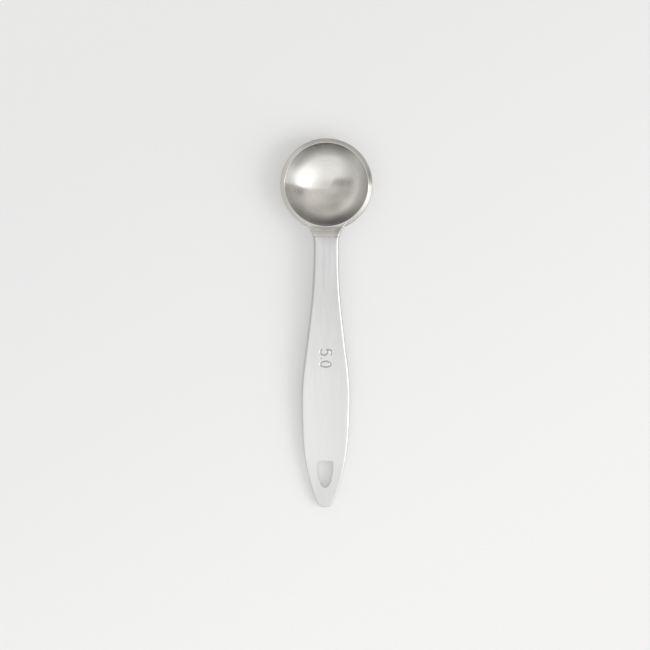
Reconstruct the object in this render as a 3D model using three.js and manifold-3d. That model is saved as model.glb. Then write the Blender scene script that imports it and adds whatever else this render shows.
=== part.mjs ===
// Measuring teaspoon of satin stainless steel, on a table, bowl towards +Y and tip towards -Y.
// A drawn bowl carries a short neck and a tongue. The tongue runs under a pressed handle with turned-down
// edges, and two plug welds through the tongue hold it to the handle's underside.
// Millimetres, +Z up, with the table at z = 0 and the middle of the spoon's length at y = 0.
import * as THREE from "three";
import { mergeVertices } from "three/addons/utils/BufferGeometryUtils.js";
import Module from "manifold-3d";

// Bowl
const BOWL_RADIUS = 18.8; // inside, at the rim
const BOWL_DEPTH = 9.0; // inside; a parabolic bowl of this radius and depth holds 5 millilitres
const BOWL_SHEET = 1.0; // wall of the bowl, and of the neck and tongue cut from the same blank
const RIM_WIDTH = 1.98; // flat rim with its outer bead
const RIM_BEAD_RADIUS = 0.7;

// Neck, part of the bowl's blank
const NECK_LENGTH = 2.94; // from the rim's outer edge to the seam
const NECK_FILLET = 13.7; // in plan, between the rim's bead and the waist
const NECK_STEP = 0.25; // top of the neck below the rim
const NECK_ROLL = 0.5; // edge radius where the neck leaves the bowl
const NECK_LIP = 0.2; // depth of its turned-down edges below the sheet where it leaves the bowl

// Handle
const OVERALL_LENGTH = 166.1;
const HANDLE_SHEET = 1.0;
const WAIST_WIDTH = 11.3;
const WAIST_LENGTH = 6.3; // straight stretch behind the seam
const BELLY_WIDTH = 22.2;
const BELLY_TO_TIP = 50.0;
const TIP_RADIUS = 4.1;
const TIP_TAPER = 22.5; // degrees between each edge and the centre line, where the tip's arc begins
const WAIST_EASE = 0.44; // share of the waist-to-belly stretch that pulls the edge straight at the waist
const BELLY_EASE = 0.23; // the same at the belly
const TAPER_EASE = 0.32; // share of the belly-to-tip stretch, the same at both its ends
const EDGE_ROLL = 1.7; // radius of the turned-down edges
const LEAST_INNER_ROLL = 0.1; // inside radius where an edge is rolled tighter than its sheet
const EDGE_DEPTH = 3.2; // from the top face to the lower edge
const BEND_RADIUS = 70; // side view, where the handle leaves the seam and slopes down to the table
const DISH_RADIUS = 170; // hollow across the top face

// Hanging hole
const HOLE_WIDTH = 8.0;
const HOLE_LENGTH = 12.1;
const HOLE_END_RADIUS = 1.5; // narrow end, towards the tip
const HOLE_TO_TIP = 8.55;
const HOLE_CHAMFER = 0.35;

// Lap joint
const SEAM_GAP = 0.1;
const LAP_GAP = 0.15; // between the tongue and the handle's underside
const TONGUE_SIDE_GAP = 0.6;
const WELD_DIAMETER = 3.2;
const WELD_NAMES = ["front_weld", "rear_weld"];
const WELD_PITCH = 6.6;
const WELD_MARGIN = 4.8; // from the seam to the first weld, and from the last to the tongue's end
const WELD_CROWN = 0.25;
const WELD_GAP = 0.1; // round each weld, and between its end and the handle

// Facets
const ROUND_STEPS = 72;
const BOWL_STEPS = 12;
const BEAD_STEPS = 6;
const ROLL_STEPS = 4;
const WEB_STEPS = 6;
const WELD_STEPS = 24;
const FILLET_STEPS = 6;
const WAIST_STEPS = 6;
const SWELL_STEPS = 14;
const TAPER_STEPS = 12;
const TIP_STEPS = 8;
const CURVE_STEPS = 16;
const SAME_POINT = 1e-4; // points nearer than this are merged
const SLIVER = 0.002; // faces narrower than this are merged with their neighbours

// Rim, and the circles that the neck and what joins the wall under the rim take root in
const rimHeight = BOWL_DEPTH + BOWL_SHEET;
const rimRadius = BOWL_RADIUS + RIM_WIDTH;
const neckRoot = rimRadius - 2 * RIM_BEAD_RADIUS;
const wallRoot = BOWL_RADIUS - BOWL_SHEET;

// Places along the spoon, as distances from the bowl's axis towards the tip
const seam = rimRadius + NECK_LENGTH;
const waistEnd = seam + WAIST_LENGTH;
const tip = OVERALL_LENGTH - rimRadius;
const belly = tip - BELLY_TO_TIP;
const weldPlaces = WELD_NAMES.map((_, i) => seam + WELD_MARGIN + i * WELD_PITCH);
const tongueEnd = weldPlaces.at(-1) + WELD_MARGIN;
const beyond = OVERALL_LENGTH; // reach of the blocks that part the pieces

// The handle's top face in side view: level to the seam, a bend, then straight down to where the tip rests.
const neckTop = rimHeight - NECK_STEP;
const reach = tip - seam;
const rise = BEND_RADIUS - (neckTop - EDGE_DEPTH);
const slope = Math.asin(BEND_RADIUS / Math.hypot(reach, rise)) - Math.atan2(rise, reach);
const bendEnd = seam + BEND_RADIUS * Math.sin(slope);

function slopeAt(distance) {
  const along = THREE.MathUtils.clamp(distance, seam, bendEnd) - seam;
  return Math.asin(along / BEND_RADIUS);
}

function topAt(distance) {
  const bendDrop = BEND_RADIUS * (1 - Math.cos(slopeAt(distance)));
  const straight = Math.max(0, distance - bendEnd);
  return neckTop - bendDrop - straight * Math.tan(slope);
}

const wasm = await Module();
wasm.setup();

// A closed geometry as a solid, without the empty triangles that a point on an axis or a tip leaves.
function solid(geometry) {
  const bare = new THREE.BufferGeometry();
  const source = geometry.index ? geometry.toNonIndexed() : geometry;
  bare.setAttribute("position", source.getAttribute("position"));
  const merged = mergeVertices(bare, SAME_POINT);
  const corners = merged.index.array;
  const kept = [];
  for (let i = 0; i < corners.length; i += 3) {
    const [a, b, c] = corners.slice(i, i + 3);
    if (a !== b && b !== c && c !== a) kept.push(a, b, c);
  }
  const vertProperties = new Float32Array(merged.attributes.position.array);
  return new wasm.Manifold(new wasm.Mesh({ numProp: 3, vertProperties, triVerts: new Uint32Array(kept) }));
}

function geometryOf(manifold) {
  const mesh = manifold.simplify(SLIVER).getMesh();
  const geometry = new THREE.BufferGeometry();
  geometry.setAttribute("position", new THREE.BufferAttribute(mesh.vertProperties, 3));
  geometry.setIndex(new THREE.BufferAttribute(mesh.triVerts, 1));
  geometry.computeVertexNormals();
  return geometry;
}

// A profile of (radius, height) points turned about the vertical axis.
function turned(profile, steps) {
  return new THREE.LatheGeometry(profile, steps).rotateX(Math.PI / 2);
}

function arcPoints(centreX, centreY, radius, from, to, steps) {
  return new THREE.EllipseCurve(centreX, centreY, radius, radius, from, to, to < from).getPoints(steps);
}

// A block that fills the stretch between two distances from the bowl's axis.
function stretch(from, to) {
  const block = new THREE.BoxGeometry(beyond, to - from, beyond);
  return solid(block.translate(0, -(from + to) / 2, 0));
}

// The right-hand edge of the neck and handle in plan, from the bowl's rim to the middle of the tip.
function edgeRows() {
  const waist = WAIST_WIDTH / 2;
  const filletX = waist + NECK_FILLET;
  const filletY = -Math.sqrt((neckRoot + NECK_FILLET) ** 2 - filletX ** 2);
  const taper = THREE.MathUtils.degToRad(TIP_TAPER);
  const tipCentre = -(tip - TIP_RADIUS);
  const swell = belly - waistEnd;
  const taperEase = TAPER_EASE * BELLY_TO_TIP;
  const tipStart = new THREE.Vector2(
    TIP_RADIUS * Math.cos(taper),
    tipCentre - TIP_RADIUS * Math.sin(taper),
  );
  const edge = new THREE.Path();
  edge.absarc(filletX, filletY, NECK_FILLET, Math.atan2(-filletY, -filletX), Math.PI, false);
  edge.lineTo(waist, -waistEnd);
  edge.bezierCurveTo(
    waist,
    -waistEnd - WAIST_EASE * swell,
    BELLY_WIDTH / 2,
    -belly + BELLY_EASE * swell,
    BELLY_WIDTH / 2,
    -belly,
  );
  edge.bezierCurveTo(
    BELLY_WIDTH / 2,
    -belly - taperEase,
    tipStart.x + taperEase * Math.sin(taper),
    tipStart.y + taperEase * Math.cos(taper),
    tipStart.x,
    tipStart.y,
  );
  edge.absarc(0, tipCentre, TIP_RADIUS, -taper, -Math.PI / 2, true);
  const rows = [];
  const steps = [FILLET_STEPS, WAIST_STEPS, SWELL_STEPS, TAPER_STEPS, TIP_STEPS];
  edge.curves.forEach((curve, part) => {
    for (let i = rows.length ? 1 : 0; i <= steps[part]; i++) {
      const point = curve.getPoint(i / steps[part]);
      const tangent = curve.getTangent(i / steps[part]);
      rows.push({ point, inward: new THREE.Vector2(tangent.y, -tangent.x) });
    }
  });
  return rows;
}

// The pressed channel of the neck and handle: a dished top face whose edges roll over and turn down.
// Each row across it has an outer line of points and an inner line one sheet away, from right to left.
function channel(sheet) {
  const rows = edgeRows();
  const start = -rows[0].point.y;
  const positions = [];

  function line(row, offset) {
    const distance = -row.point.y;
    const grown = THREE.MathUtils.clamp((distance - start) / (seam - start), 0, 1);
    const roll = THREE.MathUtils.lerp(NECK_ROLL, EDGE_ROLL, grown ** 2);
    const depth = THREE.MathUtils.lerp(sheet + NECK_LIP, EDGE_DEPTH, grown);
    const radius = Math.max(roll - offset, LEAST_INNER_ROLL);
    const rings = [[offset, depth]];
    for (let i = 0; i <= ROLL_STEPS; i++) {
      const turn = (i / ROLL_STEPS) * (Math.PI / 2);
      rings.push([offset + radius * (1 - Math.cos(turn)), offset + radius * (1 - Math.sin(turn))]);
    }
    const dish = THREE.MathUtils.smoothstep(distance, seam, waistEnd) / (2 * DISH_RADIUS);
    const side = rings.map(([inset, drop]) => {
      const place = row.point.clone().addScaledVector(row.inward, inset);
      const x = Math.max(place.x, 0); // the last row lies on the middle line
      return new THREE.Vector3(x, place.y, topAt(-place.y) - drop);
    });
    const last = side.at(-1);
    const web = [];
    for (let i = 1; i < WEB_STEPS; i++) {
      const x = last.x * (1 - (2 * i) / WEB_STEPS);
      web.push(new THREE.Vector3(x, last.y, last.z - dish * (last.x ** 2 - x ** 2)));
    }
    const mirrored = side.map((p) => new THREE.Vector3(-p.x, p.y, p.z)).reverse();
    return [...side, ...web, ...mirrored];
  }

  function face(a, b, c, d) {
    for (const p of [a, b, c, a, c, d]) positions.push(p.x, p.y, p.z);
  }

  const outer = rows.map((row) => line(row, 0));
  const inner = rows.map((row) => line(row, sheet));
  const end = outer[0].length - 1;
  for (let j = 0; j < end; j++) face(outer[0][j], inner[0][j], inner[0][j + 1], outer[0][j + 1]);
  for (let i = 0; i + 1 < rows.length; i++) {
    for (let j = 0; j < end; j++) {
      face(outer[i][j], outer[i][j + 1], outer[i + 1][j + 1], outer[i + 1][j]);
      face(inner[i][j], inner[i + 1][j], inner[i + 1][j + 1], inner[i][j + 1]);
    }
    face(outer[i][0], outer[i + 1][0], inner[i + 1][0], inner[i][0]);
    face(outer[i][end], inner[i][end], inner[i + 1][end], outer[i + 1][end]);
  }
  const geometry = new THREE.BufferGeometry();
  geometry.setAttribute("position", new THREE.Float32BufferAttribute(positions, 3));
  return solid(geometry);
}

// The strip of the bowl's blank that dips at the seam and follows the handle's underside, with a round end.
function tongue() {
  const width = WAIST_WIDTH - 2 * (HANDLE_SHEET + TONGUE_SIDE_GAP);
  const upper = HANDLE_SHEET + LAP_GAP;
  const lower = upper + BOWL_SHEET;
  const profile = new THREE.Shape();
  profile.moveTo(wallRoot, neckTop - BOWL_SHEET / 2);
  profile.lineTo(seam, neckTop - BOWL_SHEET / 2);
  const places = [];
  for (let i = 0; i <= CURVE_STEPS; i++) places.push(seam + ((tongueEnd - seam) * i) / CURVE_STEPS);
  for (const place of places) profile.lineTo(place, topAt(place) - upper);
  for (const place of places.reverse()) profile.lineTo(place, topAt(place) - lower);
  profile.lineTo(wallRoot, neckTop - BOWL_SHEET);
  const strip = new THREE.ExtrudeGeometry(profile, { depth: width, bevelEnabled: false });
  strip.translate(0, 0, -width / 2).rotateX(Math.PI / 2).rotateZ(-Math.PI / 2);

  const plan = new THREE.Shape();
  plan.moveTo(width / 2, 0);
  plan.absarc(0, -tongueEnd + width / 2, width / 2, 0, -Math.PI, true);
  plan.lineTo(-width / 2, 0);
  const outline = new THREE.ExtrudeGeometry(plan, {
    depth: beyond,
    bevelEnabled: false,
    curveSegments: CURVE_STEPS,
  });
  return solid(strip).intersect(solid(outline));
}

// Sets a mesh square to the handle at a distance along it, with its own z = 0 on the top face.
function setOnHandle(mesh, distance) {
  mesh.position.set(0, -distance, topAt(distance));
  mesh.rotation.x = slopeAt(distance);
  mesh.updateMatrix();
  return mesh;
}

function onHandle(geometry, distance) {
  const placed = setOnHandle(new THREE.Mesh(geometry), distance);
  return solid(geometry.applyMatrix4(placed.matrix));
}

// Weld metal from the handle's underside to a low crown below the tongue.
function weld() {
  const radius = WELD_DIAMETER / 2;
  const top = -HANDLE_SHEET - WELD_GAP;
  const bottom = -HANDLE_SHEET - LAP_GAP - BOWL_SHEET;
  const crownRadius = (radius ** 2 + WELD_CROWN ** 2) / (2 * WELD_CROWN);
  const half = Math.asin(radius / crownRadius);
  const crownCentre = bottom - WELD_CROWN + crownRadius;
  const crown = arcPoints(0, crownCentre, crownRadius, -Math.PI / 2, -Math.PI / 2 + half, ROLL_STEPS);
  crown[0].x = 0;
  return turned([...crown, new THREE.Vector2(radius, top), new THREE.Vector2(0, top)], WELD_STEPS);
}

function weldHole() {
  const radius = WELD_DIAMETER / 2 + WELD_GAP;
  const depth = 2 * (HANDLE_SHEET + LAP_GAP + BOWL_SHEET);
  const hole = [new THREE.Vector2(0, -depth), new THREE.Vector2(radius, -depth)];
  return turned([...hole, new THREE.Vector2(radius, 0), new THREE.Vector2(0, 0)], WELD_STEPS);
}

// The section of a parabolic bowl, from its lowest point up to the rim's height.
function parabola(radius, depth) {
  const lowest = new THREE.Vector2(0, rimHeight - depth);
  const below = new THREE.Vector2(radius / 2, rimHeight - depth);
  const rim = new THREE.Vector2(radius, rimHeight);
  return new THREE.QuadraticBezierCurve(lowest, below, rim).getPoints(BOWL_STEPS);
}

// Bowl: a parabolic shell with a beaded rim, the neck and the tongue, hollowed by the measured bowl.
function bowl() {
  const outside = [...parabola(BOWL_RADIUS + BOWL_SHEET, rimHeight), new THREE.Vector2(0, rimHeight)];
  const mouth = [new THREE.Vector2(BOWL_RADIUS, beyond), new THREE.Vector2(0, beyond)];
  const inside = [...parabola(BOWL_RADIUS, BOWL_DEPTH), ...mouth];
  const beadX = rimRadius - RIM_BEAD_RADIUS;
  const beadZ = rimHeight - RIM_BEAD_RADIUS;
  const bead = [
    new THREE.Vector2(wallRoot, rimHeight),
    new THREE.Vector2(wallRoot, rimHeight - 2 * RIM_BEAD_RADIUS),
    ...arcPoints(beadX, beadZ, RIM_BEAD_RADIUS, -Math.PI / 2, Math.PI / 2, BEAD_STEPS),
    new THREE.Vector2(wallRoot, rimHeight),
  ];
  let strip = tongue();
  for (const place of weldPlaces) strip = strip.subtract(onHandle(weldHole(), place));
  return solid(turned(outside, ROUND_STEPS))
    .add(solid(turned(bead, ROUND_STEPS)))
    .add(channel(BOWL_SHEET).intersect(stretch(0, seam)))
    .add(strip)
    .subtract(solid(turned(inside, ROUND_STEPS)));
}

// Hanging hole: two arcs joined by tangents, wide end towards the bowl, chamfered round its upper edge.
function hangingHole() {
  const wide = HOLE_WIDTH / 2;
  const centres = HOLE_LENGTH - wide - HOLE_END_RADIUS;
  const lean = Math.asin((wide - HOLE_END_RADIUS) / centres);
  const outline = new THREE.Shape();
  outline.absarc(0, 0, wide, -lean, Math.PI + lean, false);
  outline.absarc(0, -centres, HOLE_END_RADIUS, Math.PI + lean, 2 * Math.PI - lean, false);
  const place = tip - HOLE_TO_TIP - HOLE_END_RADIUS - centres;
  const through = new THREE.ExtrudeGeometry(outline, {
    depth: 4 * EDGE_DEPTH,
    bevelEnabled: false,
    curveSegments: CURVE_STEPS,
  });
  const funnel = new THREE.ExtrudeGeometry(outline, {
    depth: EDGE_DEPTH,
    bevelSize: 2 * HOLE_CHAMFER,
    bevelThickness: 2 * HOLE_CHAMFER,
    bevelSegments: 1,
    curveSegments: CURVE_STEPS,
  });
  through.translate(0, 0, -2 * EDGE_DEPTH);
  funnel.translate(0, 0, HOLE_CHAMFER);
  return onHandle(through, place).add(onHandle(funnel, place));
}

function handle() {
  return channel(HANDLE_SHEET)
    .intersect(stretch(seam + SEAM_GAP, beyond))
    .subtract(hangingHole());
}

const spoon = new THREE.Group();
spoon.position.y = (tip - rimRadius) / 2;

function addPiece(name, geometry, look) {
  const piece = new THREE.Mesh(geometry, new THREE.MeshStandardMaterial(look));
  piece.name = name;
  spoon.add(piece);
  return piece;
}

addPiece("bowl", geometryOf(bowl()), { color: 0xc6c4be, roughness: 0.3, metalness: 1 });
addPiece("handle", geometryOf(handle()), { color: 0xcbcbc9, roughness: 0.35, metalness: 1 });
WELD_NAMES.forEach((name, i) => {
  const piece = addPiece(name, weld(), { color: 0xb5b2ac, roughness: 0.45, metalness: 1 });
  setOnHandle(piece, weldPlaces[i]);
});

export default spoon;
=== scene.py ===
# Measuring teaspoon of satin stainless steel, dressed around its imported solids.
# Metres in the part's own frame: bowl towards +Y, tip towards -Y, the table at z = 0.
import math

import bmesh
import bpy
import numpy as np
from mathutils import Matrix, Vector


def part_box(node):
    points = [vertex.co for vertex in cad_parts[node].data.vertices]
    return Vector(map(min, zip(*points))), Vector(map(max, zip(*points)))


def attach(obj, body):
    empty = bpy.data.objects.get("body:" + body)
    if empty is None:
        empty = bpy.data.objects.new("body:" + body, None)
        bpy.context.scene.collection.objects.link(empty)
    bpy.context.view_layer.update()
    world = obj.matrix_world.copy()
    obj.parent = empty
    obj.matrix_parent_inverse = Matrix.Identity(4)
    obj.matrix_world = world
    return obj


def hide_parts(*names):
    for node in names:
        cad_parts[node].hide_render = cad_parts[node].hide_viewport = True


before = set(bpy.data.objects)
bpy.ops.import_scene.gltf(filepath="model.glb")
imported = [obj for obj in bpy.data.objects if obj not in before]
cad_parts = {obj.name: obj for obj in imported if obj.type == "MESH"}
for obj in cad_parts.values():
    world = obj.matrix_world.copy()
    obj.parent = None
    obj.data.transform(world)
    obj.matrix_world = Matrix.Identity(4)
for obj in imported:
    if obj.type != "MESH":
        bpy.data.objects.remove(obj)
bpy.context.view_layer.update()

MM = 0.001

# Bowl and neck
BOWL_SHEET = 1.0 * MM
RIM_WIDTH = 1.98 * MM
RIM_BEAD_RADIUS = 0.7 * MM
RIM_INNER_ROUND = 0.25 * MM
RIM_FLAT = 0.15 * MM  # level part of the rim, next to the bowl
RIM_FALL = math.radians(34)  # slope of the rim from there to its rounded edge
NECK_FILLET = 13.7 * MM  # in plan, between the rim and the waist
NECK_STEP = 0.25 * MM  # top of the neck below the rim
NECK_ROLL = 0.5 * MM  # edge radius where the neck leaves the bowl
NECK_LIP = 0.2 * MM  # depth of its turned-down edges below the sheet there
NECK_DIP = 0.8 * MM  # hollow in its top face beside the rim
NECK_DIP_LENGTH = 8.5 * MM  # from the rim's outer edge

# Handle
HANDLE_SHEET = 1.0 * MM
WAIST_WIDTH = 11.3 * MM
WAIST_LENGTH = 6.3 * MM  # straight stretch behind the seam
BELLY_TO_TIP = 50.0 * MM
TIP_RADIUS = 4.1 * MM
TIP_TAPER = math.radians(22.5)  # between each edge and the centre line, where the tip's arc begins
WAIST_EASE = 0.44  # share of the waist-to-belly stretch that pulls the edge straight at the waist
BELLY_EASE = 0.23  # the same at the belly
TAPER_EASE = 0.32  # share of the belly-to-tip stretch, the same at both its ends
EDGE_ROLL = 1.15 * MM  # radius of the turned-down edges
TIP_ROLL = 0.55 * MM  # the same round the tip
ROLL_FADE_START = 42.0 * MM  # from the tip, where that radius begins to shrink
ROLL_FADE_END = 20.0 * MM
LEAST_INNER_ROLL = 0.1 * MM
EDGE_DEPTH = 3.2 * MM  # from the top face to the lower edge
LIP_ROUND = 0.2 * MM
BEND_RADIUS = 70 * MM  # side view, behind the seam
DISH_RADIUS = 170 * MM  # hollow across the top face

# Hanging hole
HOLE_WIDTH = 7.3 * MM
HOLE_LENGTH = 12.0 * MM
HOLE_CORNER_RADIUS = 1.2 * MM
HOLE_TAPER_POWER = 1.2  # 1 draws the sides in as half an oval does, more makes them straighter
HOLE_TO_TIP = 9.0 * MM
HOLE_ROUND = 0.35 * MM  # at the top face

# Lap joint
SEAM_GAP = 0.1 * MM  # between the neck's end and the handle's
SEAM_ROUND = 0.17 * MM
LAP_GAP = 0.15 * MM  # between the handle and the tongue below it
TONGUE_SIDE_GAP = 0.6 * MM
TONGUE_ROOT_DEPTH = 0.9 * BOWL_SHEET  # top of the tongue below the neck's, before the seam
WELD_RADIUS = 1.6 * MM
WELD_PITCH = 6.6 * MM
WELD_MARGIN = 4.8 * MM  # from the seam to the first weld, and from the last to the tongue's end
WELD_CROWN = 0.25 * MM  # height of its crown below the tongue
WELD_GAP = 0.1 * MM  # round a weld and above it
WELD_RIPPLE = 0.02 * MM
WELD_RIPPLE_TURN = 5 * math.pi  # from the middle of the crown to its edge
WELD_NAMES = ["front_weld", "rear_weld"]
CUT_REACH = 3 * EDGE_DEPTH  # of a hole's cutter below the top face

# Stamped number
DIGIT_HEIGHT = 4.8 * MM
STAMP_CENTRE = 78.0 * MM  # from the bowl's axis
STAMP_LAYER = "stamp"
STAMP_DEPTH = 0.18 * MM
STAMP_STROKE = 0.42 * MM  # half the width of a stroke
STAMP_FLOOR = 0.35  # share of that which lies at full depth
STAMP_REACH = 6.0 * MM  # half the length of the finely meshed stretch
STAMP_BAND = 0.4  # share of the handle's width that is finely meshed

# Steps of the meshes
SAME_POINT = 0.002 * MM  # points nearer than this are merged
SLIVER = 0.001 * MM
SHARP_ANGLE = math.radians(38)  # edges sharper than this aren't smoothed over
TURN_STEPS = 192
OUTSIDE_STEPS = 56
HOLLOW_STEPS = 72
BEAD_STEPS = 16
SLANT_STEPS = 10
INNER_ROUND_STEPS = 6
ROLL_STEPS = 10
LIP_STEPS = 3
END_ROUND_STEPS = 5
HOLE_TAPER_STEPS = 64
HOLE_CORNER_STEPS = 12
HOLE_ROUND_STEPS = 6
WELD_STEPS = 48
CROWN_STEPS = 13
INNER_WEB_STEPS = 12
NECK_WEB_STEPS = 24
COARSE_WEB_STEPS = 7
FINE_WEB_STEPS = 48
TONGUE_WEB_STEPS = 16
TONGUE_END_STEPS = 23
NECK_MESH = 0.15 * MM
HANDLE_MESH = 0.5 * MM
STAMP_MESH = 0.1 * MM
TIP_MESH = 0.12 * MM
TIP_MESH_REACH = 1.6 * TIP_RADIUS  # along the edge, from the middle of the tip
TONGUE_ROOT_MESH = 0.2 * MM
TONGUE_MESH = 0.3 * MM
TONGUE_DROP = 0.02 * MM  # length in which the tongue drops under the handle

# Steel: the two tones that the grain mixes, a range of roughness and the depth of the grain
BOWL_TONES = ((0.635, 0.622, 0.592), (0.67, 0.657, 0.627))
BOWL_ROUGHNESS = (0.13, 0.18)
BOWL_GRAIN_DEPTH = 0.0002 * MM
HANDLE_TONES = ((0.608, 0.614, 0.614), (0.682, 0.686, 0.686))
HANDLE_ROUGHNESS = (0.27, 0.36)
HANDLE_GRAIN_DEPTH = 0.0015 * MM

# Grain and scratches. Scales are in waves per metre.
BRUSH_SCALE = (6000, 90, 6000)
RING_SCALE = 5000
RING_TURN_SCALE = (1.6, 1.6, 0)  # waves round the bowl
BROAD_GRAIN = 0.16  # scale of the broad streaks, as a share of the fine ones'
FINE_SHARE = 0.4  # of the fine streaks in the tone
GRAIN_STRENGTH = 0.5
GRAIN_DULLING = 0.05
HAIR_SCALE = (5200, 110, 5200)
HAIR_ANGLES = (0.35, -0.6)
HAIR_SPAN = (0.7, 0.76)
HAIR_DEPTH = 2  # times the grain's
HAIR_STRENGTH = 0.4
HAIR_DULLING = 0.12
SMUDGE_SCALE = 85
SMUDGE_SPAN = (0.35, 0.7)
NOISE_SPAN = (0.3, 0.7)  # where most of a noise lies

# Wear, painted sheen and painted shade
WORN_TONE = (0.74, 0.74, 0.73)
WORN_SHARE = 0.3
WORN_POINTINESS = (0.53, 0.6)
WORN_DULLING = -0.06
# Painted sheen: a lighter tone painted on from the waist to the hanging hole, standing in for the brighter
# light the handle mirrors there
PAINTED_SHEEN_TONE = (0.82, 0.815, 0.805)
PAINTED_SHEEN_GAIN = ((25 * MM, -45 * MM), (0, 0.65))  # along y, from the waist to the belly
PAINTED_SHEEN_LOSS = ((-75 * MM, -60 * MM), (0.4, 1))  # along y, at the tip
# Painted shade: a dark tone painted into concave creases, the stamped strokes and the neck beside the rim
PAINTED_SHADE_TONE = (0.2, 0.19, 0.175)
PAINTED_SHADE_SHARE = 0.75
CREASE_SHADE_POINTINESS = (0.485, 0.43)
# Painted shade in the stamped strokes, by their depth
STAMP_SHADE = ((0.2, 0.9), (0, 0.7))  # by the depth of a stroke
# Painted shade on the neck beside the rim
NECK_SHADE = 0.5
NECK_SHADE_SIDE = (0.9 * WAIST_WIDTH, 0.4 * WAIST_WIDTH)  # where it fades, from the middle

# Weld metal
WELD_TONES = ((0.36, 0.35, 0.37), (0.50, 0.43, 0.33))
WELD_ROUGHNESS = (0.34, 0.55)
WELD_CLOUD_SCALE = 1800
WELD_CLOUD_REACH = 0.5 * MM  # how far the clouds shift the tint
WELD_TINT = (0.5 * MM, 1.5 * MM)  # from a weld's middle
WELD_GRAIN_DEPTH = 0.03 * MM
WELD_GRAIN_STRENGTH = 0.6

# Floor
FLOOR_REACH = 4.0
# The floor glows a little, though it is no lamp: painted light that lifts its shadows
FLOOR_PAINTED_GLOW = 0.32
# Painted light on the floor: a dim tone and a lit one, blended towards the window
FLOOR_DIM_TONE = (0.435, 0.435, 0.437)
FLOOR_LIT_TONE = (0.526, 0.526, 0.526)
FLOOR_SPECK_TONE = (0.46, 0.46, 0.46)
FLOOR_LIGHT_FADE = (-0.2, 0.2)  # painted light: from the dim tone to the lit one, towards -Y and +X
FLOOR_LIGHT_LEAN = 0.6
FLOOR_SPECK_SCALE = 900
FLOOR_SPECK_SHARE = (0, 0.2)
FLOOR_ROUGHNESS = (0.7, 0.85)
FLOOR_SHINE = 0.2

# Window light, which casts the shadows. The places of the lamp and of all that is in the room are given
# as (a, b), a direction's x and y over 1 + z: nothing straight up, one at the horizon.
LAMP_PLACE = (0.56, -0.22)
LAMP_STRENGTH = 1.1
LAMP_ANGLE = math.radians(44)

# Room. Each change along a or b is the range in which it happens and the levels at its two ends, and
# each oval is a place, a size, the share of the size that lies at its full level, and that level.
ROOM_LEVEL = 0.877
LEAST_LIFT = 0.5  # keeps what lies far below the horizon in reach
LIT_TINT = (1.0, 1.0, 0.995)
SHADE_TINT = (1.0, 0.975, 0.945)
BORDER_RISE = ((-0.22, -0.02), (-0.13, 0.108))  # b of the border between the halves, along a
BORDER_FALL = ((0.3, 0.85), (0, -0.09))
BORDER_SOFTNESS = ((0, -0.15), (0.02, 0.06))
END_WIDTH = (0.55, 1.0)  # dark ends of the room, by the share of b in the distance from straight up
END_FADE = ((0.68, 0.92), (0, -0.8))

# Bright half
CEILING_RISE = ((0.04, -0.2), (1.06, 1.34))  # along b, away from the border
CEILING_END = ((-0.3, -0.58), (0, -0.14))  # along b
CEILING_SIDE = ((-0.2, -0.62), (0, -0.5))  # along a, towards -X
WINDOW_RISE = ((0, 0.42), (0, 0.56))  # along a
WINDOW_WIDTH = (-0.62, -0.2)  # along b
WINDOW_SIDE = ((0.55, 0.8), (0, -0.4))  # along a
WINDOW_GLOW = ((0.46, -0.12), (0.34, 0.24), 0.2, 0.1)
WINDOW_PANE = ((0.5, -0.02), (0.17, 0.08), 0.1, 8.0)
WALL_RISE = ((0.6, 0.8), (0, 0.45))  # along a
WALL_WIDTH = (-0.55, -0.25)  # along b
WALL_LEVEL = ((-0.3, -0.5), (0.64, 0.74))  # along a
WALL_SIDE = ((-0.65, -0.95), (0, -0.22))  # along a
CEILING_CORNER = (0.695, -0.78)  # direction in which the ceiling is cut off at a corner
CEILING_CORNER_SPAN = (0.79, 0.61)
CEILING_EDGE_SPAN = (0.84, 0.72)  # along a
CEILING_SHAPE = (1.25, 1.0)
CEILING_SHAPE_SPAN = (0.7, 0.6)

# Dark half
SHADE_LEVEL = ((0.05, -0.25), (0.82, 0.69))  # along a
SHADE_SIDE = ((0.42, 0.6), (0, -0.14))  # along a
SHADE_END = ((0.36, 0.56), (0, -0.12))  # along b
SHADE_HORIZON = ((0.72, 0.95), (0, -0.2))  # by the distance from straight up
SHADE_PATCHES = [
    ((0.29, 0.3), (0.36, 0.36), 0.14, 0.17),
    ((-0.14, 0.12), (0.28, 0.16), 0.2, 0.16),
    ((-0.46, 0.48), (0.26, 0.26), 0.2, 0.16),
    ((0.61, 0.18), (0.18, 0.14), 0.2, -0.2),
    ((-0.44, -0.04), (0.27, 0.13), 0.3, -0.17),
]
PALE_RING_PLACE = 0.68  # distance from straight up
PALE_RING_FADE = ((0.13, 0), (0, 0.3))  # by the distance from the ring
PALE_RING_SIDE = (0.2, -0.4)  # along a

# Camera, from the photograph
IMAGE_SIZE = 650
BOWL_PIXEL = (326.4, 184.25)
BOWL_PIXEL_RADIUS = 41.9
TIP_PIXEL = (325.0, 507.1)
CAMERA_HEIGHT = 1.7

# Places from the frame, as distances from the bowl's axis towards the tip
bowl_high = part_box("bowl")[1]
handle_low, handle_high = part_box("handle")
rim_radius = bowl_high.x
rim_height = bowl_high.z
bowl_radius = rim_radius - RIM_WIDTH
axis_y = bowl_high.y - rim_radius
seam = axis_y - handle_high.y - SEAM_GAP
waist_end = seam + WAIST_LENGTH
tip = axis_y - handle_low.y
belly = tip - BELLY_TO_TIP
half_belly = handle_high.x
weld_places = [seam + WELD_MARGIN + i * WELD_PITCH for i in range(len(WELD_NAMES))]
tongue_end = weld_places[-1] + WELD_MARGIN

# The bowl, and the circles that the neck and the tongue take root in
bowl_depth = rim_height - BOWL_SHEET
neck_root = rim_radius - 2 * RIM_BEAD_RADIUS
wall_root = bowl_radius - BOWL_SHEET

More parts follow.
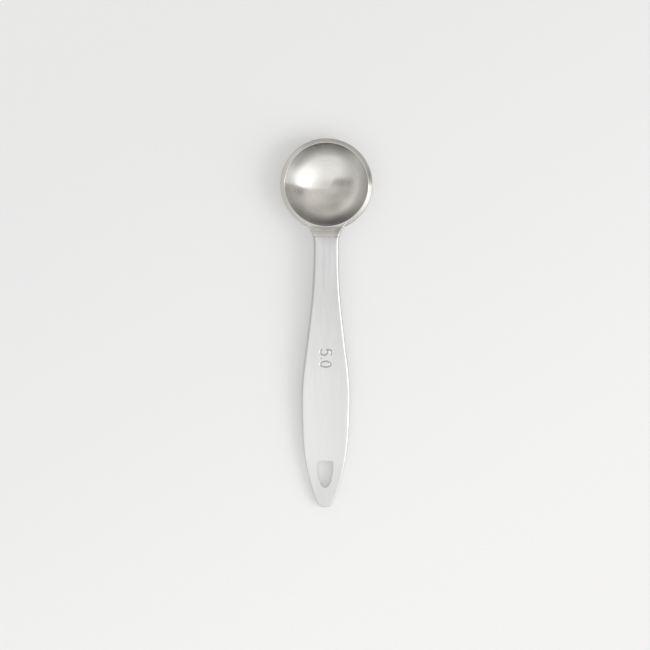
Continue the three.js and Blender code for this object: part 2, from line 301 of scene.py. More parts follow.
# Side view of the handle's top face: level to the seam, a bend, then straight to the tip
neck_top = rim_height - NECK_STEP
rise = BEND_RADIUS - (neck_top - EDGE_DEPTH)
slope = math.asin(BEND_RADIUS / math.hypot(tip - seam, rise)) - math.atan2(rise, tip - seam)
bend_end = seam + BEND_RADIUS * math.sin(slope)


def slope_at(distance):
    return np.arcsin((np.clip(distance, seam, bend_end) - seam) / BEND_RADIUS)


def top_at(distance):
    drop = BEND_RADIUS * (1 - np.cos(slope_at(distance)))
    return neck_top - drop - np.maximum(0, distance - bend_end) * math.tan(slope)


def smoothstep(low, high, value):
    t = np.clip((value - low) / (high - low), 0, 1)
    return t * t * (3 - 2 * t)


# Lines in plan, as (x, distance) points

def line(start, end, steps=200):
    return np.linspace(start, end, steps + 1)


def arc(centre, radius, start, end, steps=200):
    angles = np.linspace(start, end, steps + 1)
    return np.column_stack([centre[0] + radius * np.cos(angles), centre[1] + radius * np.sin(angles)])


def bezier(a, b, c, d, steps=400):
    t = np.linspace(0, 1, steps + 1)[:, None]
    a, b, c, d = (np.array(p) for p in (a, b, c, d))
    return (1 - t) ** 3 * a + 3 * (1 - t) ** 2 * t * b + 3 * (1 - t) * t**2 * c + t**3 * d


def edge_line():
    """The right-hand edge of the neck and handle, from the bowl's wall to the middle of the tip."""
    waist = WAIST_WIDTH / 2
    fillet_x = waist + NECK_FILLET
    fillet_d = math.sqrt((neck_root + NECK_FILLET) ** 2 - fillet_x**2)
    tip_centre = tip - TIP_RADIUS
    tip_x = TIP_RADIUS * math.cos(TIP_TAPER)
    tip_d = tip_centre + TIP_RADIUS * math.sin(TIP_TAPER)
    swell = belly - waist_end
    taper = TAPER_EASE * BELLY_TO_TIP
    taper_point = (tip_x + taper * math.sin(TIP_TAPER), tip_d - taper * math.cos(TIP_TAPER))
    parts = [
        arc((fillet_x, fillet_d), NECK_FILLET, math.atan2(-fillet_d, -fillet_x), -math.pi),
        line((waist, fillet_d), (waist, waist_end)),
        bezier(
            (waist, waist_end),
            (waist, waist_end + WAIST_EASE * swell),
            (half_belly, belly - BELLY_EASE * swell),
            (half_belly, belly),
        ),
        bezier((half_belly, belly), (half_belly, belly + taper), taper_point, (tip_x, tip_d)),
        arc((0, tip_centre), TIP_RADIUS, TIP_TAPER, math.pi / 2),
    ]
    return np.vstack([parts[0]] + [part[1:] for part in parts[1:]])


edge = edge_line()
edge_run = np.concatenate([[0], np.cumsum(np.hypot(*np.diff(edge, axis=0).T))])
edge_along = np.gradient(edge, edge_run, axis=0)
edge_along /= np.linalg.norm(edge_along, axis=1)[:, None]
edge_along[-1] = (-1, 0)


def run_at(distance):
    return float(np.interp(distance, edge[:, 1], edge_run))


def spaced(start, end, step):
    """Even stations from start up to, but without, end."""
    count = max(1, round((end - start) / step))
    return start + (end - start) * np.arange(count) / count


def between(start, end, steps):
    """The places inside a stretch that is cut into even steps."""
    return np.linspace(start, end, steps + 1)[1:-1]


# Mesh making

def new_object(name, points, faces):
    mesh = bpy.data.meshes.new(name)
    mesh.from_pydata([tuple(p) for p in points], [], faces)
    bm = bmesh.new()
    bm.from_mesh(mesh)
    bmesh.ops.remove_doubles(bm, verts=bm.verts, dist=SAME_POINT)
    bmesh.ops.dissolve_degenerate(bm, edges=bm.edges, dist=SLIVER)
    bmesh.ops.recalc_face_normals(bm, faces=bm.faces)
    bm.to_mesh(mesh)
    bm.free()
    piece = bpy.data.objects.new(name, mesh)
    bpy.context.scene.collection.objects.link(piece)
    return piece


def skin(name, rows):
    """A closed mesh over rows of points, each row a closed loop. The last row may close on the middle
    plane, and then it needs no end face."""
    count, width = rows.shape[:2]
    faces = []
    for i in range(count - 1):
        for j in range(width):
            k = (j + 1) % width
            faces.append((i * width + j, i * width + k, (i + 1) * width + k, (i + 1) * width + j))
    faces.append(tuple(range(width)))
    last = (count - 1) * width
    if np.ptp(rows[-1, :, 0]) > 0:
        faces.append(tuple(range(last + width - 1, last - 1, -1)))
    return new_object(name, rows.reshape(-1, 3), faces)


def turned(name, profile):
    """A profile of (radius, height) points turned about the bowl's axis. It starts and ends on the axis."""
    angles = 2 * math.pi * np.arange(TURN_STEPS) / TURN_STEPS
    points = [(0, axis_y, profile[0][1]), (0, axis_y, profile[-1][1])]
    inner = profile[1:-1]
    for radius, height in inner:
        points += [(radius * math.sin(a), axis_y + radius * math.cos(a), height) for a in angles]
    faces = []
    for j in range(TURN_STEPS):
        k = (j + 1) % TURN_STEPS
        faces.append((0, 2 + j, 2 + k))
        for i in range(len(inner) - 1):
            low, high = 2 + i * TURN_STEPS, 2 + (i + 1) * TURN_STEPS
            faces.append((low + j, high + j, high + k, low + k))
        end = 2 + (len(inner) - 1) * TURN_STEPS
        faces.append((1, end + k, end + j))
    return new_object(name, points, faces)


def combine(target, other, operation):
    """Joins another closed mesh to the target, or cuts it away, and removes it."""
    modifier = target.modifiers.new(operation, "BOOLEAN")
    modifier.object = other
    modifier.operation = operation
    modifier.solver = "EXACT"
    shaped = target.evaluated_get(bpy.context.evaluated_depsgraph_get())
    mesh = bpy.data.meshes.new_from_object(shaped)
    target.modifiers.clear()
    target.data = mesh
    bpy.data.objects.remove(other)


def finish_mesh(piece, body="root"):
    piece.data.shade_smooth()
    piece.data.set_sharp_from_angle(angle=SHARP_ANGLE)
    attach(piece, body)


# The pressed channel of the neck and handle

def channel(name, runs, sheet, end, outer_web, stamp=None):
    """Rows across the channel at these runs along its edge. end is the distance of its open end, whose
    outer edge is rounded. outer_web holds the places across the top face, from right to left."""
    point = np.column_stack([np.interp(runs, edge_run, edge[:, k]) for k in range(2)])
    along = np.column_stack([np.interp(runs, edge_run, edge_along[:, k]) for k in range(2)])
    along /= np.linalg.norm(along, axis=1)[:, None]
    inward = np.column_stack([-along[:, 1], along[:, 0]])
    distance = point[:, 1]
    start = edge[0, 1]
    grown = np.clip((distance - start) / (seam - start), 0, 1)
    roll = NECK_ROLL + (EDGE_ROLL - NECK_ROLL) * grown**2
    roll += (TIP_ROLL - roll) * smoothstep(tip - ROLL_FADE_START, tip - ROLL_FADE_END, distance)
    depth = sheet + NECK_LIP + (EDGE_DEPTH - sheet - NECK_LIP) * grown
    short = SEAM_ROUND - np.minimum(np.abs(distance - end), SEAM_ROUND)
    ease = SEAM_ROUND - np.sqrt(np.maximum(SEAM_ROUND**2 - short**2, 0))
    dish = smoothstep(seam, waist_end, distance) / (2 * DISH_RADIUS)

    # Insets from the edge and drops from the top face, from the top round the lip to the underside
    turns = np.linspace(math.pi / 2, 0, ROLL_STEPS + 1)
    lip_turns = np.linspace(0, math.pi / 2, LIP_STEPS + 1)
    outer_radius = roll - ease
    inner_radius = np.maximum(roll - sheet, LEAST_INNER_ROLL)
    section = []
    for turn in turns:
        inset = ease + outer_radius * (1 - math.cos(turn))
        section.append((inset, ease + outer_radius * (1 - math.sin(turn))))
    for turn in lip_turns:
        inset = ease + LIP_ROUND * (1 - math.cos(turn))
        section.append((inset, depth - LIP_ROUND * (1 - math.sin(turn))))
    for turn in lip_turns[::-1]:
        inset = sheet - LIP_ROUND * (1 - math.cos(turn))
        section.append((inset, depth - LIP_ROUND * (1 - math.sin(turn))))
    for turn in turns[::-1]:
        inset = sheet + inner_radius * (1 - math.cos(turn))
        section.append((inset, sheet + inner_radius * (1 - math.sin(turn))))

    def placed(inset, drop):
        x = np.maximum(point[:, 0] + inward[:, 0] * inset, 0)
        d = point[:, 1] + inward[:, 1] * inset
        return np.column_stack([x, d, top_at(d) - drop])

    side = [placed(inset, drop) for inset, drop in section]
    mirror = np.array([-1, 1, 1])

    def web(edge_points, places):
        lines = []
        for place in places:
            x = edge_points[:, 0] * place
            z = edge_points[:, 2] - dish * (edge_points[:, 0] ** 2 - x**2)
            lines.append(np.column_stack([x, edge_points[:, 1], z]))
        return lines

    # The neck's dip is deepest in the middle and gone at both edges and at its end
    top = web(side[0], outer_web)
    for place, column in zip(outer_web, top):
        left = np.clip(1 - (column[:, 1] - rim_radius) / NECK_DIP_LENGTH, 0, 1)
        column[:, 2] -= NECK_DIP * (1 - place**4) * left**2
    if stamp is not None:
        for column in top:
            column[:, 2] -= stamp(column[:, 0], column[:, 1])
    below = web(side[-1], -between(1, -1, INNER_WEB_STEPS))
    loop = top[::-1] + side + below[::-1] + [p * mirror for p in side[::-1]]
    rows = np.stack(loop, axis=1)
    rows[:, :, 1] = axis_y - rows[:, :, 1]
    return skin(name, rows)


# Stamped number: strokes in units of the digit height, reading towards the tip with the tops towards +X

def digit_strokes():
    five_top = line((0.52, 1.0), (0.10, 1.0), 1)
    five_stem = line((0.10, 1.0), (0.05, 0.56), 1)
    five_curve = arc((0.26, 0.33), 0.311, math.radians(132), math.radians(-140), 40)
    point = line((0.0, 0.05), (0.01, 0.05), 1)
    zero = arc((0, 0), 1, 0, 2 * math.pi, 60) * (0.27, 0.48) + (0, 0.5)
    strokes = [(five_top, 0.0), (five_stem, 0.0), (five_curve, 0.0), (point, 0.86), (zero, 1.42)]
    return [stroke + (shift, 0) for stroke, shift in strokes]


def stamp_depth(x, distance):
    """How far the stamped number lowers the top face at these places."""
    strokes = digit_strokes()
    middle = np.mean([np.vstack(strokes).min(axis=0), np.vstack(strokes).max(axis=0)], axis=0)
    along = (distance - STAMP_CENTRE) / DIGIT_HEIGHT + middle[0]
    up = x / DIGIT_HEIGHT + middle[1]
    nearest = np.full(x.shape, np.inf)
    spots = np.column_stack([along, up])
    for stroke in strokes:
        for a, b in zip(stroke[:-1], stroke[1:]):
            share = np.clip(((spots - a) @ (b - a)) / ((b - a) @ (b - a)), 0, 1)
            nearest = np.minimum(nearest, np.linalg.norm(spots - a - share[:, None] * (b - a), axis=1))
    return STAMP_DEPTH * (1 - smoothstep(STAMP_FLOOR, 1.0, nearest * DIGIT_HEIGHT / STAMP_STROKE))


def mark_stamp(mesh):
    """Keeps, for the painted shade in them, how deep the strokes are at each point of the top face."""
    places = np.array([tuple(vertex.co) for vertex in mesh.vertices])
    distance = axis_y - places[:, 1]
    deep = stamp_depth(places[:, 0], distance) / STAMP_DEPTH
    deep[places[:, 2] < top_at(distance) - HANDLE_SHEET / 2] = 0
    mesh.attributes.new(STAMP_LAYER, "FLOAT", "POINT").data.foreach_set("value", deep.astype(np.float32))


# Handle

def on_handle(points, distance):
    """Points given square to the handle at a distance along it, with z = 0 on the top face."""
    lean = float(slope_at(distance))
    place = Vector((0, axis_y - distance, float(top_at(distance))))
    turned_points = []
    for x, y, z in points:
        y, z = y * math.cos(lean) - z * math.sin(lean), y * math.sin(lean) + z * math.cos(lean)
        turned_points.append(Vector((x, y, z)) + place)
    return turned_points


def ring_on_handle(outline, height, distance):
    """A flat outline at a height over the handle's top face."""
    return [tuple(p) for p in on_handle([(x, y, height) for x, y in outline], distance)]


def weld_circle(radius):
    return arc((0, 0), radius, 0, 2 * math.pi, WELD_STEPS)[:-1]


def hanging_hole():
    """Cutter for the hanging hole: a flat end with round corners towards the bowl, sides that bulge as
    they draw in towards the tip, and a round at the top face."""
    half = HOLE_WIDTH / 2 - HOLE_CORNER_RADIUS
    drop = HOLE_LENGTH - 2 * HOLE_CORNER_RADIUS
    place = tip - HOLE_TO_TIP - HOLE_CORNER_RADIUS - drop
    turns = np.linspace(math.pi, 2 * math.pi, HOLE_TAPER_STEPS + 1)
    across = half * np.sign(np.cos(turns)) * np.abs(np.cos(turns)) ** HOLE_TAPER_POWER
    taper = np.column_stack([across, drop * np.sin(turns)])
    ahead = np.gradient(taper, axis=0)
    outward = np.column_stack([ahead[:, 1], -ahead[:, 0]]) / np.linalg.norm(ahead, axis=1)[:, None]

    def ring(grow, height):
        radius = HOLE_CORNER_RADIUS + grow
        outline = np.vstack([
            arc((half, 0), radius, 0, math.pi / 2, HOLE_CORNER_STEPS),
            arc((-half, 0), radius, math.pi / 2, math.pi, HOLE_CORNER_STEPS),
            (taper + radius * outward)[1:-1],
        ])
        return ring_on_handle(outline, height, place)

    rings = [ring(0, -CUT_REACH)]
    for turn in np.linspace(0, math.pi / 2, HOLE_ROUND_STEPS + 1):
        rings.append(ring(HOLE_ROUND * (1 - math.cos(turn)), -HOLE_ROUND * (1 - math.sin(turn))))
    rings.append(ring(HOLE_ROUND, EDGE_DEPTH))
    return skin("hole_cutter", np.array(rings))


def make_handle():
    start = run_at(seam + SEAM_GAP)
    stamp_start = run_at(STAMP_CENTRE - STAMP_REACH)
    stamp_end = run_at(STAMP_CENTRE + STAMP_REACH)
    tip_start = edge_run[-1] - TIP_MESH_REACH
    end_turns = np.linspace(0, math.pi / 2, END_ROUND_STEPS + 1)[:-1]
    runs = np.concatenate([
        start + SEAM_ROUND * (1 - np.cos(end_turns)),
        spaced(start + SEAM_ROUND, stamp_start, HANDLE_MESH),
        spaced(stamp_start, stamp_end, STAMP_MESH),
        spaced(stamp_end, tip_start, HANDLE_MESH),
        spaced(tip_start, edge_run[-1], TIP_MESH),
        [edge_run[-1]],
    ])
    coarse = np.linspace(1, STAMP_BAND, COARSE_WEB_STEPS + 1)[1:]
    fine = between(STAMP_BAND, -STAMP_BAND, FINE_WEB_STEPS)
    web = np.concatenate([coarse, fine, -coarse[::-1]])
    piece = channel("handle_shell", runs, HANDLE_SHEET, seam + SEAM_GAP, web, stamp_depth)
    combine(piece, hanging_hole(), "DIFFERENCE")
    mark_stamp(piece.data)
    finish_mesh(piece)
    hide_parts("handle")
    return piece


# Bowl

def tongue():
    """The strip that leaves the bowl's wall, dips at the seam and follows the handle's underside."""
    half = WAIST_WIDTH / 2 - HANDLE_SHEET - TONGUE_SIDE_GAP
    upper = HANDLE_SHEET + LAP_GAP
    end_start = tongue_end - half
    places = np.concatenate([
        spaced(wall_root, seam, TONGUE_ROOT_MESH),
        [seam, seam + TONGUE_DROP],
        spaced(seam + TONGUE_MESH, end_start, TONGUE_MESH),
        end_start + half * np.sin(np.linspace(0, math.pi / 2, TONGUE_END_STEPS + 1)),
    ])
    across = np.linspace(-1, 1, TONGUE_WEB_STEPS + 1)
    rows = []
    for place in places:
        past = max(0.0, place - end_start)
        width = math.sqrt(max(half**2 - past**2, 0))
        top = float(top_at(place))
        dip = float(smoothstep(wall_root, seam, place))
        high = top - (TONGUE_ROOT_DEPTH if place <= seam else upper)
        low = top - BOWL_SHEET - dip * upper
        upper_line = [(t * width, axis_y - place, high) for t in across]
        lower_line = [(t * width, axis_y - place, low) for t in across[::-1]]
        rows.append(upper_line + lower_line)
    strip = skin("tongue_strip", np.array(rows))
    hole = weld_circle(WELD_RADIUS + WELD_GAP)
    for place in weld_places:
        rings = [ring_on_handle(hole, height, place) for height in (-CUT_REACH, 0)]
        combine(strip, skin("weld_cutter", np.array(rings)), "DIFFERENCE")
    return strip


def parabola(radius, depth, top, steps):
    """Section of a parabolic bowl of this radius and depth at the rim, from its lowest point up to a
    height."""
    share = np.linspace(0, math.sqrt(1 - (rim_height - top) / depth), steps + 1)
    return np.column_stack([radius * share, rim_height - depth * (1 - share**2)])


def make_bowl():
    crest = bowl_radius + RIM_FLAT
    bead_x = rim_radius - RIM_BEAD_RADIUS
    fall = (bead_x + RIM_BEAD_RADIUS * math.sin(RIM_FALL) - crest) * math.tan(RIM_FALL)
    bead_z = rim_height - fall - RIM_BEAD_RADIUS * math.cos(RIM_FALL)
    outside = parabola(bowl_radius + BOWL_SHEET, rim_height, bead_z - RIM_BEAD_RADIUS, OUTSIDE_STEPS)
    bead = arc((bead_x, bead_z), RIM_BEAD_RADIUS, -math.pi / 2, math.pi / 2 - RIM_FALL, BEAD_STEPS)
    slant = line(bead[-1], (crest, rim_height), SLANT_STEPS)[1:]
    piece = turned("bowl_shell", [*outside, *bead, *slant, (0, rim_height)])

    neck_end = run_at(seam)
    end_turns = np.linspace(math.pi / 2, 0, END_ROUND_STEPS + 1)
    runs = np.concatenate([
        spaced(0, neck_end - SEAM_ROUND, NECK_MESH),
        neck_end - SEAM_ROUND * (1 - np.cos(end_turns)),
    ])
    neck = channel("neck", runs, BOWL_SHEET, seam, between(1, -1, NECK_WEB_STEPS))
    combine(piece, neck, "UNION")
    combine(piece, tongue(), "UNION")

    lean = math.atan(2 * bowl_depth / bowl_radius)
    round_reach = RIM_INNER_ROUND * math.tan(lean / 2)
    hollow = parabola(bowl_radius, bowl_depth, rim_height - round_reach * math.sin(lean), HOLLOW_STEPS)
    flare = bowl_radius + round_reach
    round_centre = (flare, rim_height - RIM_INNER_ROUND)
    round_start = math.pi / 2 + lean
    inner_round = arc(round_centre, RIM_INNER_ROUND, round_start, math.pi / 2, INNER_ROUND_STEPS)[1:]
    above = rim_height + RIM_WIDTH
    mouth = [(flare, above), (0, above)]
    combine(piece, turned("hollow_cutter", [*hollow, *inner_round, *mouth]), "DIFFERENCE")
    finish_mesh(piece)
    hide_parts("bowl")
    return piece


# Welds

def make_weld(name, place):
    """Weld metal with a low rippled crown below the tongue."""
    top = -HANDLE_SHEET - WELD_GAP
    bottom = -HANDLE_SHEET - LAP_GAP - BOWL_SHEET
    profile = []
    for share in np.linspace(0, 1, CROWN_STEPS + 1)[1:]:
        ripple = WELD_RIPPLE * math.cos(share * WELD_RIPPLE_TURN)
        profile.append((share * WELD_RADIUS, bottom - WELD_CROWN * (1 - share**2) + ripple * (1 - share)))
    profile.append((WELD_RADIUS, top))
    rings = [ring_on_handle(weld_circle(radius), height, place) for radius, height in profile]
    piece = skin(f"{name}_metal", np.array(rings))
    finish_mesh(piece)
    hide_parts(name)
    return piece


# Nodes

def add_node(tree, kind, inputs=None, **settings):
    node = tree.nodes.new(kind)
    for name, value in settings.items():
        setattr(node, name, value)
    for name, value in (inputs or {}).items():
        socket = node.inputs[name]
        if isinstance(value, bpy.types.NodeSocket):
            tree.links.new(value, socket)
        else:
            socket.default_value = value
    return node


def ranged(tree, value, source, target=(0.0, 1.0)):
    """A value eased from one range into another and held at its ends."""
    inputs = {
        "Value": value,
        "From Min": source[0],
        "From Max": source[1],
        "To Min": target[0],
        "To Max": target[1],
    }
    return add_node(tree, "ShaderNodeMapRange", inputs, interpolation_type="SMOOTHSTEP").outputs["Result"]


def arithmetic(tree, operation, *values):
    return add_node(tree, "ShaderNodeMath", dict(enumerate(values)), operation=operation).outputs["Value"]


def added(tree, first, *others):
    for value in others:
        first = arithmetic(tree, "ADD", first, value)
    return first


def times(tree, first, *others):
    for value in others:
        first = arithmetic(tree, "MULTIPLY", first, value)
    return first


def mixed(tree, share, first, second):
    inputs = {0: share, 2: first, 3: second}
    return add_node(tree, "ShaderNodeMix", inputs, data_type="FLOAT").outputs[0]


def length_of(tree, a, b, size=(1.0, 1.0), centre=(0.0, 0.0)):
    """Distance of (a, b) from a centre, counted in sizes of an oval."""
    across = arithmetic(tree, "DIVIDE", arithmetic(tree, "SUBTRACT", a, centre[0]), size[0])
    along = arithmetic(tree, "DIVIDE", arithmetic(tree, "SUBTRACT", b, centre[1]), size[1])
    squares = arithmetic(tree, "MULTIPLY_ADD", across, across, times(tree, along, along))
    return arithmetic(tree, "SQRT", squares)


def oval(tree, a, b, centre, size, core, level):
    """A soft oval patch that reaches its level within a core, given as a share of its size."""
    return ranged(tree, length_of(tree, a, b, size, centre), (1.0, core), (0, level))


def vector_of(tree, operation, *values):
    inputs = dict(enumerate(values))
    return add_node(tree, "ShaderNodeVectorMath", inputs, operation=operation).outputs["Vector"]


def distance_to(tree, vector, place):
    inputs = {0: vector, 1: place}
    return add_node(tree, "ShaderNodeVectorMath", inputs, operation="DISTANCE").outputs["Value"]


def parts_of(tree, vector):
    return add_node(tree, "ShaderNodeSeparateXYZ", {"Vector": vector}).outputs


def noise(tree, vector, scale=1.0, detail=2.0):
    inputs = {"Vector": vector, "Scale": scale, "Detail": detail}
    return add_node(tree, "ShaderNodeTexNoise", inputs).outputs[0]


def stretched(tree, vector, scale, turn=0.0):
    inputs = {"Vector": vector, "Scale": scale, "Rotation": (0, 0, turn)}
    return add_node(tree, "ShaderNodeMapping", inputs).outputs["Vector"]


def blended(tree, share, first, second):
    """A colour mixed from two by a share that changes from place to place."""
    inputs = {0: share}
    for socket, colour in ((6, first), (7, second)):
        inputs[socket] = colour if isinstance(colour, bpy.types.NodeSocket) else (*colour, 1)
    return add_node(tree, "ShaderNodeMix", inputs, data_type="RGBA").outputs[2]


def bumped(tree, height, distance, strength, normal=None, invert=False):
    """A normal tilted by a height, on top of another that is tilted already, if there is one."""
    inputs = {"Height": height, "Distance": distance, "Strength": strength}
    if normal is not None:
        inputs["Normal"] = normal
    return add_node(tree, "ShaderNodeBump", inputs, invert=invert).outputs["Normal"]


def new_material(name):
    material = bpy.data.materials.new(name)
    material.use_nodes = True
    tree = material.node_tree
    return material, tree, tree.nodes["Principled BSDF"]


# Materials

def place_on_part(tree):
    return add_node(tree, "ShaderNodeTexCoord").outputs["Object"]


def grain_along(tree):
    """Brushing along the handle."""
    return stretched(tree, place_on_part(tree), BRUSH_SCALE)


def grain_round(tree):
    """Polishing rings about the bowl's axis, counted by radius and height together."""
    place = vector_of(tree, "SUBTRACT", place_on_part(tree), (0, axis_y, 0))
    x, y, z = parts_of(tree, place)
    climb = times(tree, added(tree, length_of(tree, x, y), z), RING_SCALE)
    flat = vector_of(tree, "NORMALIZE", vector_of(tree, "MULTIPLY", place, (1, 1, 0)))
    turn = stretched(tree, flat, RING_TURN_SCALE)
    rings = add_node(tree, "ShaderNodeCombineXYZ", {"Z": climb}).outputs["Vector"]
    return vector_of(tree, "ADD", turn, rings)


def scratches(tree, turn):
    """Sparse hairlines at one angle to the handle."""
    lines = noise(tree, stretched(tree, place_on_part(tree), HAIR_SCALE, turn), detail=1.0)
    return ranged(tree, lines, HAIR_SPAN)


def painted_sheen(tree):
    """Share of the painted sheen, a lighter tone painted on from the waist to the hanging hole."""
    y = parts_of(tree, place_on_part(tree))["Y"]
    return times(tree, ranged(tree, y, *PAINTED_SHEEN_GAIN), ranged(tree, y, *PAINTED_SHEEN_LOSS))


def neck_shade(tree):
    """Share of the painted shade on the neck where it meets the rim."""
    x, y, _ = parts_of(tree, place_on_part(tree))
    distance = arithmetic(tree, "SUBTRACT", axis_y, y)
    return times(
        tree,
        ranged(tree, distance, (seam, rim_radius - RIM_BEAD_RADIUS), (0, NECK_SHADE)),
        ranged(tree, distance, (bowl_radius, bowl_radius + RIM_INNER_ROUND)),
        ranged(tree, arithmetic(tree, "ABSOLUTE", x), NECK_SHADE_SIDE),
    )


def steel(name, grain, tones, roughness, depth):
    """Brushed steel with smudges, hairlines, worn ridges, a painted sheen, and painted shade in creases,
    beside the rim and in the stamped number.
    """
    material, tree, shader = new_material(name)
    lines = grain(tree)
    fine = noise(tree, lines)
    broad = noise(tree, lines, BROAD_GRAIN)
    smudge = noise(tree, place_on_part(tree), SMUDGE_SCALE, detail=4.0)
    hair = arithmetic(tree, "MAXIMUM", *[scratches(tree, angle) for angle in HAIR_ANGLES])
    curve = add_node(tree, "ShaderNodeNewGeometry").outputs["Pointiness"]
    worn = ranged(tree, curve, WORN_POINTINESS)
    stamped = add_node(tree, "ShaderNodeAttribute", attribute_name=STAMP_LAYER).outputs["Fac"]
    # Painted shade in concave creases, the stamped strokes and the neck beside the rim
    painted_shade = ranged(tree, curve, CREASE_SHADE_POINTINESS)
    for extra_shade in (ranged(tree, stamped, *STAMP_SHADE), neck_shade(tree)):
        painted_shade = arithmetic(tree, "MAXIMUM", painted_shade, extra_shade)

    streak = arithmetic(tree, "MULTIPLY_ADD", fine, FINE_SHARE, times(tree, broad, 1 - FINE_SHARE))
    tone = blended(tree, ranged(tree, streak, NOISE_SPAN), *tones)
    # Painted sheen: the tone lightens along the handle
    tone = blended(tree, painted_sheen(tree), tone, PAINTED_SHEEN_TONE)
    tone = blended(tree, times(tree, worn, WORN_SHARE), tone, WORN_TONE)
    # Painted shade mixed into the tone
    tone = blended(tree, times(tree, painted_shade, PAINTED_SHADE_SHARE), tone, PAINTED_SHADE_TONE)
    tree.links.new(tone, shader.inputs["Base Color"])

    dull = ranged(tree, smudge, SMUDGE_SPAN, roughness)
    for cause, share in ((broad, GRAIN_DULLING), (hair, HAIR_DULLING), (worn, WORN_DULLING)):
        dull = arithmetic(tree, "MULTIPLY_ADD", cause, share, dull)
    tree.links.new(dull, shader.inputs["Roughness"])

    brushed = bumped(tree, fine, depth, GRAIN_STRENGTH)
    scored = bumped(tree, hair, HAIR_DEPTH * depth, HAIR_STRENGTH, brushed, invert=True)
    tree.links.new(scored, shader.inputs["Normal"])
    shader.inputs["Metallic"].default_value = 1.0
    return material


def weld_metal():
    """Wire-brushed weld metal with a heat tint that changes from its middle outwards."""
    material, tree, shader = new_material("weld_metal")
    place = place_on_part(tree)
    crown = (0, 0, -HANDLE_SHEET - LAP_GAP - BOWL_SHEET)
    centres = [on_handle([crown], spot)[0] for spot in weld_places]
    near = arithmetic(tree, "MINIMUM", *[distance_to(tree, place, centre) for centre in centres])
    cloud = noise(tree, place, WELD_CLOUD_SCALE, detail=4.0)
    heat = ranged(tree, arithmetic(tree, "MULTIPLY_ADD", cloud, WELD_CLOUD_REACH, near), WELD_TINT)
    tree.links.new(blended(tree, heat, *WELD_TONES), shader.inputs["Base Color"])
    tree.links.new(ranged(tree, cloud, NOISE_SPAN, WELD_ROUGHNESS), shader.inputs["Roughness"])
    brushed = bumped(tree, cloud, WELD_GRAIN_DEPTH, WELD_GRAIN_STRENGTH)
    tree.links.new(brushed, shader.inputs["Normal"])
    shader.inputs["Metallic"].default_value = 1.0
    return material


def dress(piece, material):
    piece.data.materials.clear()
    piece.data.materials.append(material)


# Floor, light and camera

def make_floor():
    reach = FLOOR_REACH
    corners = [(-reach, -reach, 0), (reach, -reach, 0), (reach, reach, 0), (-reach, reach, 0)]
    mesh = bpy.data.meshes.new("floor")
    mesh.from_pydata(corners, [], [(0, 1, 2, 3)])
    floor = bpy.data.objects.new("floor", mesh)
    bpy.context.scene.collection.objects.link(floor)
    material, tree, shader = new_material("floor_paint")
    speck = noise(tree, place_on_part(tree), FLOOR_SPECK_SCALE, detail=3.0)
    x, y, _ = parts_of(tree, place_on_part(tree))
    # Painted light: the paint grows lighter towards -Y and +X
    towards_light = arithmetic(tree, "MULTIPLY_ADD", x, FLOOR_LIGHT_LEAN, times(tree, y, -1))
    paint = blended(tree, ranged(tree, towards_light, FLOOR_LIGHT_FADE), FLOOR_DIM_TONE, FLOOR_LIT_TONE)
    paint = blended(tree, ranged(tree, speck, NOISE_SPAN, FLOOR_SPECK_SHARE), paint, FLOOR_SPECK_TONE)
    tree.links.new(paint, shader.inputs["Base Color"])
    tree.links.new(ranged(tree, speck, NOISE_SPAN, FLOOR_ROUGHNESS), shader.inputs["Roughness"])
    shader.inputs["Specular IOR Level"].default_value = FLOOR_SHINE
    # Painted light: the floor glows and lifts its shadows
    shader.inputs["Emission Color"].default_value = (1, 1, 1, 1)
    shader.inputs["Emission Strength"].default_value = FLOOR_PAINTED_GLOW
    dress(floor, material)


def bright_half(tree, a, b):
    """Level of a lit ceiling with a window in it towards +X, and of the wall that frames them."""
    ceiling = added(
        tree,
        ranged(tree, b, *CEILING_RISE),
        ranged(tree, b, *CEILING_END),
        ranged(tree, a, *CEILING_SIDE),
        times(tree, ranged(tree, a, *WINDOW_RISE), ranged(tree, b, WINDOW_WIDTH)),
        ranged(tree, a, *WINDOW_SIDE),
        oval(tree, a, b, *WINDOW_GLOW),
        oval(tree, a, b, *WINDOW_PANE),
    )
    wall = added(
        tree,
        times(tree, ranged(tree, a, *WALL_RISE), ranged(tree, b, WALL_WIDTH)),
        ranged(tree, a, *WALL_LEVEL),
        ranged(tree, a, *WALL_SIDE),
    )
    corner = arithmetic(tree, "MULTIPLY_ADD", b, CEILING_CORNER[1], times(tree, a, CEILING_CORNER[0]))
    inside = times(
        tree,
        ranged(tree, corner, CEILING_CORNER_SPAN),
        ranged(tree, a, CEILING_EDGE_SPAN),
        ranged(tree, length_of(tree, a, b, CEILING_SHAPE), CEILING_SHAPE_SPAN),
    )
    return mixed(tree, inside, wall, ceiling)


def dark_half(tree, a, b, spread):
    """Level of the unlit side: pale and dark patches, and a pale ring low towards -X."""
    off_ring = arithmetic(tree, "ABSOLUTE", arithmetic(tree, "SUBTRACT", spread, PALE_RING_PLACE))
    return added(
        tree,
        ranged(tree, a, *SHADE_LEVEL),
        ranged(tree, a, *SHADE_SIDE),
        *[oval(tree, a, b, *patch) for patch in SHADE_PATCHES],
        ranged(tree, b, *SHADE_END),
        times(tree, ranged(tree, off_ring, *PALE_RING_FADE), ranged(tree, a, PALE_RING_SIDE)),
        ranged(tree, spread, *SHADE_HORIZON),
    )


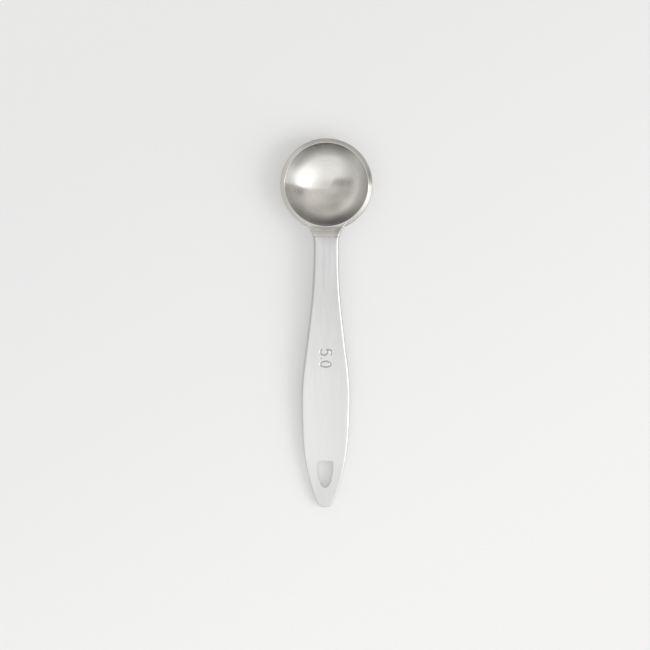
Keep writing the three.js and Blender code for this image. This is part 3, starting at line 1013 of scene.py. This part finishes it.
def make_world():
    """The room by direction: a bright half towards -Y and +X, a darker half, and dark ends low at both
    ends of Y."""
    world = bpy.data.worlds.new("room")
    world.use_nodes = True
    tree = world.node_tree
    x, y, z = parts_of(tree, add_node(tree, "ShaderNodeTexCoord").outputs["Generated"])
    lift = arithmetic(tree, "MAXIMUM", added(tree, z, 1), LEAST_LIFT)
    a = arithmetic(tree, "DIVIDE", x, lift)
    b = arithmetic(tree, "DIVIDE", y, lift)
    spread = length_of(tree, a, b)

    border = added(tree, ranged(tree, a, *BORDER_RISE), ranged(tree, a, *BORDER_FALL))
    softness = ranged(tree, a, *BORDER_SOFTNESS)
    past = arithmetic(tree, "DIVIDE", arithmetic(tree, "SUBTRACT", border, b), softness)
    lit = ranged(tree, past, (-1, 1))
    level = mixed(tree, lit, dark_half(tree, a, b, spread), bright_half(tree, a, b))
    lengthwise = arithmetic(tree, "DIVIDE", arithmetic(tree, "ABSOLUTE", b), spread)
    ends = times(tree, ranged(tree, lengthwise, END_WIDTH), ranged(tree, spread, *END_FADE))
    level = times(tree, arithmetic(tree, "MULTIPLY_ADD", level, ends, level), ROOM_LEVEL)

    back = tree.nodes["Background"]
    tree.links.new(level, back.inputs["Strength"])
    tree.links.new(blended(tree, lit, SHADE_TINT, LIT_TINT), back.inputs["Color"])
    bpy.context.scene.world = world


def make_lamp():
    """The light that comes in at the window. What shows of it in the steel is part of the room."""
    a, b = LAMP_PLACE
    data = bpy.data.lights.new("window", "SUN")
    data.energy = LAMP_STRENGTH
    data.angle = LAMP_ANGLE
    lamp = bpy.data.objects.new("window", data)
    lamp.rotation_euler = Vector((2 * a, 2 * b, 1 - a**2 - b**2)).to_track_quat("Z", "Y").to_euler()
    lamp.visible_glossy = False
    bpy.context.scene.collection.objects.link(lamp)


def make_camera():
    """Straight above, where the bowl and the tip come out at their places in the photograph."""
    data = bpy.data.cameras.new("camera")
    distance = CAMERA_HEIGHT - rim_height
    pixel = bowl_radius / BOWL_PIXEL_RADIUS
    data.lens = data.sensor_width * distance / (pixel * IMAGE_SIZE)
    data.dof.use_dof = False
    right = (BOWL_PIXEL[0] - IMAGE_SIZE / 2) * pixel
    up = (IMAGE_SIZE / 2 - BOWL_PIXEL[1]) * pixel
    roll = math.atan2(BOWL_PIXEL[0] - TIP_PIXEL[0], TIP_PIXEL[1] - BOWL_PIXEL[1])
    camera = bpy.data.objects.new("camera", data)
    camera.location = (
        -right * math.cos(roll) + up * math.sin(roll),
        axis_y - right * math.sin(roll) - up * math.cos(roll),
        CAMERA_HEIGHT,
    )
    camera.rotation_euler = (0, 0, roll)
    bpy.context.scene.collection.objects.link(camera)
    bpy.context.scene.camera = camera


bowl = make_bowl()
handle = make_handle()
welds = [make_weld(name, place) for name, place in zip(WELD_NAMES, weld_places)]
dress(bowl, steel("bowl_steel", grain_round, BOWL_TONES, BOWL_ROUGHNESS, BOWL_GRAIN_DEPTH))
dress(handle, steel("handle_steel", grain_along, HANDLE_TONES, HANDLE_ROUGHNESS, HANDLE_GRAIN_DEPTH))
weld_look = weld_metal()
for weld in welds:
    dress(weld, weld_look)
make_floor()
make_world()
make_lamp()
make_camera()
bpy.context.scene.view_settings.view_transform = "Standard"
